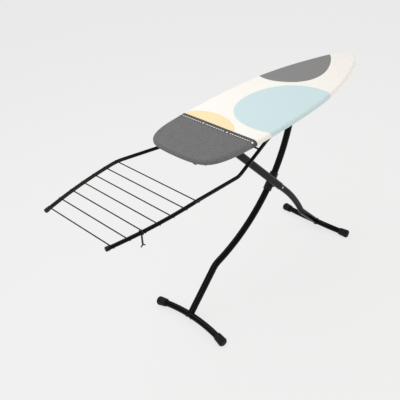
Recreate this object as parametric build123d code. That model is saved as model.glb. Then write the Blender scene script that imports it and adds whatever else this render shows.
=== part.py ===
from build123d import *
import os
from math import acos, atan2, cos, degrees, hypot, radians, sin, tan

# Ironing board with a folding scissor stand and a wire linen rack.
# Millimetres. +X runs from the broad end to the nose, +Z up, the floor is z = 0.
# Everything is drawn with x = 0 over the front feet, then moved so that the
# origin is the middle of the overall footprint.

# ---- overall sizes
board_length = 1350.0
board_width = 450.0
top_height = 1000.0          # top of the cover when the stand is fully raised
board_end_x = -11.0          # broad end of the board, measured from the front feet
foot_distance = 1074.0       # front feet to rear feet
foot_span = 414.0            # between the soles of one foot tube

# ---- board layers, from the top down
cover_top = 1.5              # cloth over the pad
cover_side = 3.0             # cloth down the rim
pad_thickness = 8.0
panel_thickness = 1.0
rim_width = 12.0
rim_sheet = 2.0              # the rim is a channel, open downwards
rim_height = 16.0
hem_width = 25.0             # cloth turned under the rim
heat_zone_length = 275.0     # broad end to the seam of the heat-proof zone
vent_length = 60.0
vent_width = 16.0
vent_pitch_x = 88.0
vent_pitch_y = 44.0
vent_rows = 7
vent_margin = 26.0           # least steel between a vent and the rim

# ---- braces under the panel
brace_width = 30.0
brace_thickness = 3.0

# ---- scissor stand
hinge_drop = 70.0            # cover top to the line of the hinge and the slider
pivot_x = 664.0
pivot_z = 500.0
scissor_angle = 46.8         # of both legs between the hinge line and the pivot
front_tube_r = 17.0
tube_wall = 1.6
front_leg_inner = 0.5        # middle of the board to the inner side of the front leg
front_arc_radius = 820.0
front_slope_at_pivot = 49.8
front_arc_up = 0.5216        # arc above the pivot, as a share of the way to the hinge
front_arc_down = 0.64        # arc below the pivot, as a share of the way to the foot
front_top_bend_r = 70.0
front_knee_r = 85.0
rear_tube_depth = 40.0       # flat-oval tube, seen from the side
rear_tube_thickness = 24.0   # across
rear_lower_depth = 35.0      # the lower tube slides into the upper one
rear_leg_inner = 8.0         # middle of the board to the inner side of the rear leg
rear_upper_overlap = 44.0    # upper tube past the pivot
rear_lower_start = 12.5      # pivot to the top of the lower tube
rear_fit = 0.2               # lower tube to the wall of the upper one
rear_top_margin = 5.0        # upper tube past its crossbar
rear_straight = 110.0        # pivot to the start of the long curve
rear_arc_radius = 1000.0
rear_arc_turn = 15.3
rear_knee_r = 60.0
rivet_distance = 56.0        # from the pivot, down the rear leg
rivet_r = 7.0
rivet_head = 2.5

# ---- feet
foot_tube_r = 16.0
foot_bow = 19.0              # middle of the foot tube, towards the stand
foot_rise = 11.0             # middle of the foot tube, above its ends
foot_end_z = 22.5
cap_r = 23.5
cap_mouth_r = 20.0
cap_cover = 34.0             # cap over the tube
cap_nose = 20.0              # cap past the tube

# ---- pivot between the legs
housing_wall = 5.0
housing_length = 100.0
boss_r = 25.0
pin_clearance = 0.1
pivot_bolt_r = 5.0
bolt_head_r = 9.0
bolt_head_height = 5.0
pivot_nut_r = 8.5
pivot_nut_height = 5.0
face_gap = 0.3               # between faces that turn on each other

# ---- hinge of the front leg
hinge_tube_r = 11.0
hinge_pin_r = 6.0
hinge_half_width = 43.0
ear_thickness = 3.0
ear_half_length = 24.0
bracket_half_length = 45.0

# ---- slider of the rear leg and its two rails
crossbar_r = 8.0
bush_r = 11.5
bush_length = 10.0
bush_gap = 0.5               # play between a bush and each flange
rail_sheet = 3.0
rail_half_gap = 50.0         # middle of the board to the inside of a rail's web
rail_flange = 14.0
rail_start = 200.2           # crossbar to the end of the rails nearer the broad end
rail_length = 230.0
crossbar_end_gap = 1.0       # crossbar end to each rail's web

# ---- height release
lever_from_end = 51.0
lever_y = -80.0
lever_z_drop = 36.0          # cover top to the middle of the lever plate
lever_plate = 4.0
lever_arm_width = 16.0
lever_arm = 50.0
lever_pin_r = 4.0
lever_spacer_r = 7.0
grip_length = 50.0
grip_width = 22.0
grip_height = 12.0
grip_overhang = 4.0          # grip past the end of the arm
rod_r = 3.0
rod_stub_r = 2.5
rod_y = -43.0
rod_hole_play = 1.0
rod_gap = 1.0                # under the lever plate
rod_stub_tip = 2.0           # stub above the lever plate
lever_pin_reach = 1.0        # pin past each face of the lever plate
lever_pin_head = 3.0
block_gap = 0.5              # over the rail's flange
block_length = 36.0
block_height = 16.0
block_width = 8.0
spring_wire_r = 0.9
spring_turns = 4
spring_pitch = 2.2
spring_gap = 0.4             # round the spacer
spring_lift = 3.0            # above the lever plate

# ---- linen rack
rack_rail_r = 8.0
rack_rail_wall = 1.5
rack_first_wire = 117.0      # broad end of the board to the first wire
rack_wire_pitch = 64.2
rack_wire_count = 7
rack_wire_r = 2.5
rack_wire_stub = 5.0         # wire past the outside of each rail
rack_half_width = 239.0      # at the first wire
rack_taper_in = 2.2          # degrees, rail against +X at the first wire
rack_taper_out = 12.6        # and at the last wire
rack_drop_first = 86.0       # cover top to the first wire
rack_drop_last = 96.0
rack_end_overhang = 17.0     # rail past the last wire
rack_low_from_end = 156.0    # broad end to the lower bend of a rail
rack_low_drop = 119.5
rack_low_half_width = 217.0
rack_high_from_end = 352.0   # broad end to the upper bend of a rail
rack_high_drop = 44.0
rack_high_half_width = 205.0
rack_tail_from_end = 410.0   # broad end to where a tail runs straight
rack_tail_drop = 41.0
rack_tail_half_width = 190.0
rack_tail_length = 188.0     # upper bend to the end of the tail
rack_bend_r = 70.0
rack_entry_bend_r = 350.0    # where a rail levels out under the first wire
rack_taper_share = 0.9       # of each half of the run that the taper's bend takes
rack_cap_r = 9.5
rack_cap_length = 16.0
socket_from_end = 430.0      # broad end to a sleeve
socket_length = 120.0
socket_wall = 2.7
socket_play = 0.3
socket_foot = 16.0           # sleeve's middle line to the outer edge of its foot
stop_arm_r = 4.0
stop_arm_from_end = 306.0    # broad end to an arm, on the slope of a rail
stop_arm_length = 72.0
stop_arm_rise = 4.0

# ---- clip that hangs on the near rail of the rack
clip_after_wire = 4
clip_side_gap = 9.0
clip_ring_wall = 2.6
clip_width = 9.0
clip_play = 0.5
clip_length = 46.0
clip_stem = 5.0
clip_prong = 10.0

# ---- worked out from the sizes above
board_tip_x = board_end_x + board_length
panel_top = top_height - cover_top - pad_thickness
rim_top = panel_top - panel_thickness
rim_bottom = rim_top - rim_height
hem_bottom = rim_bottom - cover_top
brace_bottom = rim_top - brace_thickness
hinge_z = top_height - hinge_drop
scissor_reach = (hinge_z - pivot_z) / tan(radians(scissor_angle))
front_leg_y = front_leg_inner + front_tube_r
rear_leg_y = -rear_leg_inner - rear_tube_thickness / 2
hinge_x = pivot_x + scissor_reach
slider_x = pivot_x - scissor_reach
rack_wire_x = [board_end_x - rack_first_wire - i * rack_wire_pitch
               for i in range(rack_wire_count)]
rack_end_x = rack_wire_x[-1] - rack_end_overhang
overall_start = rack_end_x - rack_cap_length / 2
overall_middle = (overall_start + board_tip_x) / 2
to_origin = Location((-overall_middle, 0, 0))

parts = {}


def keep(name, shape):
    """File one finished piece under its name, in the part's own frame."""
    parts[name] = to_origin * shape


def rod(start, end, radius):
    """A round bar between two points."""
    line = Vector(*end) - Vector(*start)
    plane = Plane(origin=start, z_dir=line)
    return extrude(plane * Circle(radius), line.length)


def block(low, high):
    """A box between its lowest and highest corners."""
    size = [b - a for a, b in zip(low, high)]
    middle = [(a + b) / 2 for a, b in zip(low, high)]
    return Location(middle) * Box(*size)


class TubeLine:
    """The centre line of a bent tube in a plane across the board's width."""

    def __init__(self, x, y, z, heading):
        self.x, self.y, self.z = x, y, z
        self.heading = heading
        self.edges = []

    def point(self):
        return (self.x, self.y, self.z)

    def straight(self, length):
        start = self.point()
        self.x += length * cos(radians(self.heading))
        self.z += length * sin(radians(self.heading))
        self.edges.append(Line(start, self.point()))
        return self

    def bend(self, radius, turn):
        start = self.point()
        side = 1 if turn > 0 else -1
        across = radians(self.heading + 90 * side)
        centre_x = self.x + radius * cos(across)
        centre_z = self.z + radius * sin(across)
        first = self.heading - 90 * side
        points = []
        for share in (0.5, 1.0):
            angle = radians(first + turn * share)
            points.append((centre_x + radius * cos(angle), self.y,
                           centre_z + radius * sin(angle)))
        self.edges.append(ThreePointArc(start, points[0], points[1]))
        self.x, self.y, self.z = points[1]
        self.heading += turn
        return self

    def bend_towards(self, radius, side, x, z):
        """Bend until the tube points at a place, then run straight to it."""
        across = radians(self.heading + 90 * side)
        centre_x = self.x + radius * cos(across)
        centre_z = self.z + radius * sin(across)
        distance = hypot(x - centre_x, z - centre_z)
        leave = degrees(atan2(z - centre_z, x - centre_x))
        leave -= side * degrees(acos(radius / distance))
        turn = (leave + 90 * side - self.heading) % 360
        self.bend(radius, turn if side > 0 else turn - 360)
        return self.straight(hypot(x - self.x, z - self.z))


def bent_line(points, radii):
    """Straight runs through space, joined by arcs at the inner points."""
    points = [Vector(*p) for p in points]
    edges = []
    start = points[0]
    for corner, after, radius in zip(points[1:-1], points[2:], radii):
        into = (corner - start).normalized()
        out = (after - corner).normalized()
        half_turn = radians(into.get_angle(out)) / 2
        reach = radius * tan(half_turn)
        entry = corner - into * reach
        leave = corner + out * reach
        inward = (out - into).normalized()
        crown = corner + inward * (radius / cos(half_turn) - radius)
        if (entry - start).length > 0.01:
            edges.append(Line(start, entry))
        edges.append(ThreePointArc(entry, crown, leave))
        start = leave
    edges.append(Line(start, points[-1]))
    return edges


def round_tube(edges, radius, wall):
    """A round tube swept along a centre line."""
    path = Wire(edges)
    plane = Plane(origin=path @ 0, z_dir=path % 0)
    ring = plane * (Circle(radius) - Circle(radius - wall))
    return sweep(ring, path)


def round_bar(edges, radius):
    """A solid round bar swept along a centre line."""
    path = Wire(edges)
    plane = Plane(origin=path @ 0, z_dir=path % 0)
    return sweep(plane * Circle(radius), path)


def oval_bar(edges, depth, thickness):
    """A flat-oval bar swept along a line, its thickness across the board."""
    path = Wire(edges)
    plane = Plane(origin=path @ 0, x_dir=(0, 1, 0), z_dir=path % 0)
    return sweep(plane * Rot(0, 0, 90) * SlotOverall(depth, thickness), path)


def oval_tube(edges, depth, thickness, wall):
    """A flat-oval tube, open at both ends."""
    core = oval_bar(edges, depth - 2 * wall, thickness - 2 * wall)
    return oval_bar(edges, depth, thickness) - core


# ---- board

def outline(inset):
    """The board's plan, drawn in by the inset all round.

    Each point gives its share of the length, its share of the half width and
    the direction that faces out of the board there, in degrees from +X."""
    half = board_width / 2
    shape = [(0.0, 0.0, 180), (0.003, 0.38, 176), (0.022, 0.70, 138),
             (0.064, 0.855, 112), (0.13, 0.935, 101), (0.25, 0.987, 93.5),
             (0.43, 0.997, 89), (0.62, 0.915, 81), (0.78, 0.705, 73),
             (0.90, 0.465, 67), (0.97, 0.255, 48), (1.0, 0.0, 0)]
    side = []
    for along, across, facing in shape:
        x = board_end_x + along * board_length - inset * cos(radians(facing))
        side.append((x, across * half - inset * sin(radians(facing))))
    other_side = [(x, -y) for x, y in side[-2:0:-1]]
    return make_face(Wire([Spline(side + other_side, periodic=True)]))


def slab(inset, bottom, top):
    """The board's plan as a plate between two heights."""
    return Location((0, 0, bottom)) * extrude(outline(inset), top - bottom)


def half_width_at(x, inset):
    """Half of the board's width at a place along it, inside the inset."""
    ends = outline(inset).bounding_box()
    if not ends.min.X + 1 < x < ends.max.X - 1:
        return 0
    strip = Location((x, 0, 0)) * Rectangle(1, 2 * board_width)
    return (outline(inset) & strip).bounding_box().max.Y


def covers():
    """Printed cover and heat-proof zone: skins with a hem turned under."""
    skin = slab(0, hem_bottom, top_height)
    skin -= slab(cover_side, rim_bottom, top_height - cover_top)
    skin -= slab(cover_side + hem_width, hem_bottom, rim_bottom)
    seam_x = board_end_x + heat_zone_length
    far = board_width
    behind = block((board_end_x - far, -far, 0), (seam_x, far, 2 * top_height))
    keep("heat_zone_cover", skin & behind)
    keep("printed_cover", skin - behind)


def board_frame():
    """Rim, vented steel panel and pad."""
    rim = slab(cover_side, rim_bottom, rim_top)
    rim -= slab(cover_side + rim_width, rim_bottom, rim_top)
    groove = slab(cover_side + rim_sheet, rim_bottom, rim_top - rim_sheet)
    groove -= slab(cover_side + rim_width - rim_sheet, rim_bottom, rim_top)
    keep("board_rim", rim - groove)
    keep("felt_pad", slab(cover_side, panel_top, top_height - cover_top))
    plate = outline(cover_side)
    margin = cover_side + rim_width + vent_margin
    vents = []
    columns = int((board_length - margin) / vent_pitch_x)
    for column in range(columns):
        x = board_end_x + vent_pitch_x * (column + 0.9)
        room = min(half_width_at(x - vent_length / 2, margin),
                   half_width_at(x + vent_length / 2, margin))
        for row in range(vent_rows):
            y = (row - (vent_rows - 1) / 2) * vent_pitch_y
            if abs(y) + vent_width / 2 < room:
                vents.append(Location((x, y, 0))
                             * SlotOverall(vent_length, vent_width))
    plate -= vents
    plate = extrude(plate, panel_thickness)
    keep("vented_panel", Location((0, 0, rim_top)) * plate)


def braces():
    """Flat bars across the rim that carry the stand's fittings."""
    inset = cover_side + rim_width
    inside = slab(inset, brace_bottom, rim_top)
    rails_from = slider_x - rail_start
    centres = {"end_brace": board_end_x + lever_from_end,
               "rail_end_brace": rails_from + brace_width,
               "rail_inner_brace": rails_from + rail_length - brace_width,
               "hinge_brace": hinge_x}
    for name, x in centres.items():
        strip = block((x - brace_width / 2, -board_width, brace_bottom),
                      (x + brace_width / 2, board_width, rim_top))
        keep(name, inside & strip)


# ---- stand

def foot(name, x, inward):
    """One arched foot tube and its two caps. inward is +1 towards the nose."""
    low = (x, -foot_span / 2, foot_end_z)
    high = (x, foot_span / 2, foot_end_z)
    crown = (x + inward * foot_bow, 0, foot_end_z + foot_rise)
    arc = ThreePointArc(low, crown, high)
    tube = round_tube([arc], foot_tube_r, tube_wall)
    for side, place, way in (("right", arc @ 0, (arc % 0) * -1),
                             ("left", arc @ 1, arc % 1)):
        mouth = Plane(origin=place - way * cap_cover, z_dir=way)
        length = cap_cover + cap_nose
        cap = mouth * extrude_cone(cap_mouth_r, cap_r, length)
        cap = fillet(cap.edges().sort_by(Axis((0, 0, 0), way))[-1:],
                     cap_r / 2)
        cap -= round_bar([arc], foot_tube_r)
        cap -= block((x - foot_span, -foot_span, -foot_span),
                     (x + foot_span, foot_span, 0))
        keep(f"{name}_foot_cap_{side}", cap)
    return tube, round_bar([arc], foot_tube_r), crown


def extrude_cone(bottom_r, top_r, height):
    """A tapered plug standing on its wide or narrow end."""
    return Cone(bottom_r, top_r, height,
                align=(Align.CENTER, Align.CENTER, Align.MIN))


def front_leg_line():
    """Centre line of the front leg, from its hinge to its foot."""
    up = TubeLine(pivot_x, front_leg_y, pivot_z, front_slope_at_pivot)
    to_hinge = hypot(scissor_reach, hinge_z - pivot_z)
    up.bend(front_arc_radius,
            degrees(front_arc_up * to_hinge / front_arc_radius))
    up.bend_towards(front_top_bend_r, -1, hinge_x, hinge_z)
    down = TubeLine(pivot_x, front_leg_y, pivot_z, front_slope_at_pivot + 180)
    crown_z = foot_end_z + foot_rise
    to_foot = hypot(pivot_x - foot_bow, pivot_z - crown_z)
    down.bend(front_arc_radius,
              -degrees(front_arc_down * to_foot / front_arc_radius))
    down.bend_towards(front_knee_r, 1, foot_bow, crown_z)
    return up.edges, down.edges


def front_leg():
    """Front leg tube, hinge tube, foot and the pivot's housing and bolt."""
    foot_tube, foot_bar, crown = foot("front", 0, 1)
    up, down = front_leg_line()
    tube = round_tube(up + down, front_tube_r, tube_wall)
    tube -= foot_bar
    tube -= rod((hinge_x, -hinge_half_width, hinge_z),
                (hinge_x, hinge_half_width, hinge_z), hinge_tube_r)
    tube -= rod((pivot_x, front_leg_y - front_tube_r, pivot_z),
                (pivot_x, front_leg_y + front_tube_r, pivot_z), pivot_bolt_r)
    keep("front_leg_tube", tube.solids().sort_by(SortBy.VOLUME)[-1])
    keep("front_foot_tube", foot_tube)
    hinge_tube = rod((hinge_x, -hinge_half_width, hinge_z),
                     (hinge_x, hinge_half_width, hinge_z), hinge_tube_r)
    hinge_tube -= rod((hinge_x, -hinge_half_width, hinge_z),
                      (hinge_x, hinge_half_width, hinge_z),
                      hinge_pin_r + pin_clearance)
    keep("front_hinge_tube", hinge_tube)


def pivot():
    """Moulded housing on the front leg, with the bolt that joins the legs."""
    inner_face = rear_leg_y + rear_tube_thickness / 2
    turn = degrees(housing_length / 2 / front_arc_radius)
    sleeve_line = TubeLine(pivot_x, front_leg_y, pivot_z,
                           front_slope_at_pivot)
    sleeve_line.bend(front_arc_radius, turn)
    lower = TubeLine(pivot_x, front_leg_y, pivot_z, front_slope_at_pivot + 180)
    lower.bend(front_arc_radius, -turn)
    line = sleeve_line.edges + lower.edges
    outer_r = front_tube_r + housing_wall
    housing = round_bar(line, outer_r)
    housing += rod((pivot_x, front_leg_y, pivot_z),
                   (pivot_x, inner_face + face_gap, pivot_z), boss_r)
    housing -= round_bar(line, front_tube_r)
    bolt_start = front_leg_y + outer_r
    housing -= rod((pivot_x, bolt_start, pivot_z),
                   (pivot_x, inner_face, pivot_z), pivot_bolt_r)
    flat = front_leg_y + outer_r - 2
    housing -= block((pivot_x - 2 * boss_r, flat, pivot_z - 2 * boss_r),
                     (pivot_x + 2 * boss_r, flat + boss_r,
                      pivot_z + 2 * boss_r))
    keep("pivot_housing", housing.solids().sort_by(SortBy.VOLUME)[-1])
    wall_inside = inner_face - tube_wall
    tip = wall_inside - pivot_nut_height - face_gap
    bolt = rod((pivot_x, flat, pivot_z), (pivot_x, tip, pivot_z),
               pivot_bolt_r)
    head_plane = Plane(origin=(pivot_x, flat, pivot_z), z_dir=(0, 1, 0))
    bolt += extrude(head_plane * RegularPolygon(bolt_head_r, 6),
                    bolt_head_height)
    keep("pivot_bolt", bolt)
    nut_plane = Plane(origin=(pivot_x, tip, pivot_z), z_dir=(0, 1, 0))
    nut = extrude(nut_plane * (RegularPolygon(pivot_nut_r, 6)
                               - Circle(pivot_bolt_r)), pivot_nut_height)
    keep("pivot_nut", nut)


def rear_leg():
    """Rear leg in two tubes, its foot, slider crossbar, bushes and rivet."""
    foot_tube, foot_bar, crown = foot("rear", foot_distance, -1)
    keep("rear_foot_tube", foot_tube)
    inner_face = rear_leg_y + rear_tube_thickness / 2
    crossbar_half = rail_half_gap - face_gap - crossbar_end_gap
    crossbar = rod((slider_x, -crossbar_half, hinge_z),
                   (slider_x, crossbar_half, hinge_z), crossbar_r)
    keep("slider_crossbar", crossbar)
    for side, way in (("right", -1), ("left", 1)):
        bush = rod((slider_x, way * (crossbar_half - bush_length), hinge_z),
                   (slider_x, way * crossbar_half, hinge_z), bush_r)
        keep(f"slider_bush_{side}", bush - crossbar)

    upper = TubeLine(pivot_x, rear_leg_y, pivot_z, 180 - scissor_angle)
    reach = hypot(scissor_reach, hinge_z - pivot_z)
    upper.straight(reach + crossbar_r + rear_top_margin)
    past = TubeLine(pivot_x, rear_leg_y, pivot_z, -scissor_angle)
    past.straight(rear_upper_overlap)
    upper_tube = oval_tube(upper.edges + past.edges, rear_tube_depth,
                           rear_tube_thickness, tube_wall)
    upper_tube -= rod((pivot_x, inner_face, pivot_z),
                      (pivot_x, inner_face - tube_wall, pivot_z),
                      pivot_bolt_r + pin_clearance)
    keep("rear_leg_upper_tube", upper_tube - crossbar)

    along_x, along_z = cos(radians(scissor_angle)), -sin(radians(scissor_angle))
    lower = TubeLine(pivot_x + rear_lower_start * along_x, rear_leg_y,
                     pivot_z + rear_lower_start * along_z, -scissor_angle)
    lower.straight(rear_straight - rear_lower_start)
    lower.bend(rear_arc_radius, -rear_arc_turn)
    lower.bend_towards(rear_knee_r, 1, crown[0], crown[2])
    thickness = rear_tube_thickness - 2 * (tube_wall + rear_fit)
    lower_tube = oval_tube(lower.edges, rear_lower_depth, thickness, tube_wall)
    rivet_x = pivot_x + rivet_distance * along_x
    rivet_z = pivot_z + rivet_distance * along_z
    outer_y = rear_leg_y - thickness / 2
    inner_y = rear_leg_y + thickness / 2
    shank = rod((rivet_x, outer_y, rivet_z), (rivet_x, inner_y, rivet_z),
                rivet_r / 2)
    lower_tube = lower_tube - foot_bar - shank
    keep("rear_leg_lower_tube", lower_tube.solids().sort_by(SortBy.VOLUME)[-1])
    head = rod((rivet_x, outer_y, rivet_z),
               (rivet_x, outer_y - rivet_head, rivet_z), rivet_r)
    tail = rod((rivet_x, inner_y, rivet_z),
               (rivet_x, inner_y + rivet_head / 2, rivet_z), rivet_r)
    keep("leg_joint_rivet", shank + head + tail)


def hinge_bracket():
    """Bracket and pin that carry the front leg under the nose."""
    ear_inside = hinge_half_width + face_gap
    ear_outside = ear_inside + ear_thickness
    bottom = hinge_z - 2 * hinge_tube_r
    plate_bottom = brace_bottom - ear_thickness
    plate = block((hinge_x - bracket_half_length, -ear_outside, plate_bottom),
                  (hinge_x + bracket_half_length, ear_outside, brace_bottom))
    for way in (-1, 1):
        ys = sorted((way * ear_inside, way * ear_outside))
        plate += block((hinge_x - ear_half_length, ys[0], hinge_z),
                       (hinge_x + ear_half_length, ys[1], plate_bottom))
        plate += rod((hinge_x, ys[0], hinge_z), (hinge_x, ys[1], hinge_z),
                     ear_half_length)
    reach = ear_outside + ear_thickness
    pin = rod((hinge_x, -reach, hinge_z), (hinge_x, reach, hinge_z),
              hinge_pin_r)
    plate -= pin
    pin += rod((hinge_x, reach, hinge_z),
               (hinge_x, reach + ear_thickness, hinge_z), hinge_pin_r + 3)
    keep("front_hinge_bracket", plate)
    keep("front_hinge_pin", pin)


def guide_rails():
    """Two channels that hold the bushes of the rear leg's crossbar."""
    start = slider_x - rail_start
    end = start + rail_length
    inside_low = hinge_z - bush_r - bush_gap
    inside_high = hinge_z + bush_r + bush_gap
    low = inside_low - rail_sheet
    for side, way in (("right", -1), ("left", 1)):
        web_ys = sorted((way * rail_half_gap,
                         way * (rail_half_gap + rail_sheet)))
        lip_ys = sorted((way * (rail_half_gap - rail_flange),
                         way * rail_half_gap))
        rail = block((start, web_ys[0], low), (end, web_ys[1], brace_bottom))
        rail += block((start, lip_ys[0], low), (end, lip_ys[1], inside_low))
        rail += block((start, lip_ys[0], inside_high),
                      (end, lip_ys[1], inside_high + rail_sheet))
        stop_x = end - rail_sheet
        rail += block((stop_x, lip_ys[0], low),
                      (end, lip_ys[1], inside_high + rail_sheet))
        keep(f"guide_rail_{side}", rail)


def height_release():
    """Lever under the broad end, its rod and the lock block on the rail."""
    x = board_end_x + lever_from_end
    z = top_height - lever_z_drop
    low, high = z - lever_plate / 2, z + lever_plate / 2
    arm_end = lever_y - lever_arm
    half = lever_arm_width / 2
    plate = block((x - half, arm_end, low), (x + half, rod_y, high))
    for y in (arm_end, rod_y):
        plate += rod((x, y, low), (x, y, high), half)
    plate -= rod((x, lever_y, low), (x, lever_y, high),
                 lever_pin_r + pin_clearance)
    plate -= rod((x, rod_y, low), (x, rod_y, high),
                 rod_stub_r + rod_hole_play)
    keep("release_lever", plate)
    grip_end = arm_end - half - grip_overhang
    grip = block((x - grip_width / 2, grip_end, z - grip_height / 2),
                 (x + grip_width / 2, grip_end + grip_length,
                  z + grip_height / 2))
    grip = fillet(grip.edges(), grip_height / 3)
    keep("lever_grip", grip - plate)

    pin_low, pin_high = low - lever_pin_reach, high + lever_pin_reach
    pin = rod((x, lever_y, pin_low), (x, lever_y, pin_high), lever_pin_r)
    pin += rod((x, lever_y, pin_high), (x, lever_y, brace_bottom),
               lever_spacer_r)
    pin += rod((x, lever_y, pin_low - lever_pin_head), (x, lever_y, pin_low),
               lever_spacer_r)
    keep("lever_pin", pin)

    coil = Helix(spring_pitch, spring_pitch * spring_turns,
                 lever_spacer_r + spring_wire_r + spring_gap,
                 center=(x, lever_y, high + spring_lift))
    spring = sweep(Plane(origin=coil @ 0, z_dir=coil % 0)
                   * Circle(spring_wire_r), coil, is_frenet=True)
    keep("return_spring", spring)

    rod_z = low - rod_r - rod_gap
    block_x = slider_x - block_length / 2
    line = rod((x, rod_y, rod_z), (block_x, rod_y, rod_z), rod_r)
    line += rod((x, rod_y, rod_z), (x, rod_y, high + rod_stub_tip), rod_stub_r)
    line += Location((x, rod_y, rod_z)) * Sphere(rod_r)
    keep("pull_rod", line)
    block_bottom = hinge_z + bush_r + bush_gap + rail_sheet + block_gap
    keep("lock_block", block(
        (block_x, rod_y - block_width / 2, block_bottom),
        (block_x + block_length, rod_y + block_width / 2,
         block_bottom + block_height)))


# ---- rack

def rack_line(way):
    """Centre line of one rack rail, from its tail to its outer end."""
    first, last = rack_wire_x[0], rack_wire_x[-1]
    run = first - last
    middle = first - run / 2
    half_at_middle = rack_half_width - run / 2 * tan(radians(rack_taper_in))
    half_at_last = half_at_middle - run / 2 * tan(radians(rack_taper_out))
    half_at_end = half_at_last - rack_end_overhang * tan(
        radians(rack_taper_out))
    fall = (rack_drop_last - rack_drop_first) / run

    def height(x):
        return top_height - rack_drop_first - fall * (first - x)

    high_x = board_end_x + rack_high_from_end
    tail_z = top_height - rack_tail_drop
    points = [(high_x + rack_tail_length, way * rack_tail_half_width, tail_z),
              (board_end_x + rack_tail_from_end,
               way * rack_tail_half_width, tail_z),
              (high_x, way * rack_high_half_width,
               top_height - rack_high_drop),
              (board_end_x + rack_low_from_end,
               way * rack_low_half_width, top_height - rack_low_drop),
              (first, way * rack_half_width, height(first)),
              (middle, way * half_at_middle, height(middle)),
              (rack_end_x, way * half_at_end, height(rack_end_x))]
    taper_radius = rack_taper_share * run / 2 / tan(
        radians((rack_taper_out - rack_taper_in) / 2))
    radii = [rack_bend_r] * 3 + [rack_entry_bend_r, taper_radius]
    return bent_line(points, radii)


def place_on(path, x):
    """The point of a rack rail at a given distance along the board."""
    low, high = 0.0, 1.0
    for _ in range(40):
        middle = (low + high) / 2
        if (path @ middle).X > x:
            low = middle
        else:
            high = middle
    return path @ low, path % low


def rack():
    """Two bent rails, the wires between them, their caps and stop arms."""
    lines = {side: Wire(rack_line(way))
             for side, way in (("right", -1), ("left", 1))}
    rails = {side: round_tube(rack_line(way), rack_rail_r, rack_rail_wall)
             for side, way in (("right", -1), ("left", 1))}
    for number, x in enumerate(rack_wire_x, 1):
        near, _ = place_on(lines["right"], x)
        far, _ = place_on(lines["left"], x)
        reach = rack_rail_r + rack_wire_stub
        wire = rod((x, near.Y - reach, near.Z), (x, far.Y + reach, far.Z),
                   rack_wire_r)
        for side in rails:
            rails[side] -= wire
        keep(f"rack_wire_{number}", wire)
    for side, way in (("right", -1), ("left", 1)):
        middle, _ = place_on(lines[side], board_end_x + stop_arm_from_end)
        arm = rod(tuple(middle), (middle.X, middle.Y - way * stop_arm_length,
                                  middle.Z + stop_arm_rise), stop_arm_r)
        arm -= round_bar(rack_line(way), rack_rail_r)
        keep(f"rack_stop_arm_{side}", arm)
    for side, rail in rails.items():
        path = lines[side]
        end, way = path @ 1, path % 1
        start = end - way * rack_cap_length / 2
        cap = rod(start, end + way * rack_cap_length / 2, rack_cap_r)
        cap = fillet(cap.edges().sort_by(Axis.X)[:1], rack_cap_r / 3)
        cap -= rod(start, end, rack_rail_r)
        keep(f"rack_rail_{side}", rail)
        keep(f"rack_end_cap_{side}", cap)
    hanging_clip(lines["right"])


def rack_sockets():
    """Sleeves under the rim that the rack's tails slide into."""
    x = board_end_x + socket_from_end
    z = top_height - rack_tail_drop
    for side, way in (("right", -1), ("left", 1)):
        y = way * rack_tail_half_width
        foot_ys = sorted((y - way * rack_rail_r / 2, y + way * socket_foot))
        bore = rod((x, y, z), (x + socket_length, y, z),
                   rack_rail_r + socket_play)
        sleeve = rod((x, y, z), (x + socket_length, y, z),
                     rack_rail_r + socket_play + socket_wall)
        sleeve += block((x, foot_ys[0], z + rack_rail_r / 2),
                        (x + socket_length, foot_ys[1], hem_bottom))
        keep(f"rack_socket_{side}", sleeve - bore)


def hanging_clip(path):
    """Moulded clip that hangs from the near rail beside one wire."""
    x = rack_wire_x[clip_after_wire] - clip_side_gap
    place, way = place_on(path, x)
    inner_r = rack_rail_r + clip_play
    outer_r = inner_r + clip_ring_wall
    centre = tuple(place)
    ring_plane = Plane(origin=(place - way * (clip_width / 2)),
                       z_dir=way)
    clip = extrude(ring_plane * Circle(outer_r), clip_width)
    stem_bottom = centre[2] - outer_r - clip_length
    half = clip_stem / 2
    clip += block((centre[0] - half, centre[1] - half, stem_bottom),
                  (centre[0] + half, centre[1] + half, centre[2]))
    for side in (-1, 1):
        clip += rod((centre[0], centre[1], stem_bottom + half),
                    (centre[0] + side * clip_prong, centre[1],
                     stem_bottom - clip_prong / 2), half)
    clip -= extrude(ring_plane * Circle(inner_r), clip_width)
    keep("hanging_clip", clip.solids().sort_by(SortBy.VOLUME)[-1])


covers()
board_frame()
braces()
front_leg()
pivot()
rear_leg()
hinge_bracket()
guide_rails()
height_release()
rack()
rack_sockets()

os.makedirs("parts", exist_ok=True)
for name, shape in parts.items():
    export_step(shape, f"parts/{name}.step")
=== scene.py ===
import math

import bmesh
import bpy
from mathutils import Matrix, Vector, noise
from mathutils.bvhtree import BVHTree
from mathutils.geometry import convex_hull_2d


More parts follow.
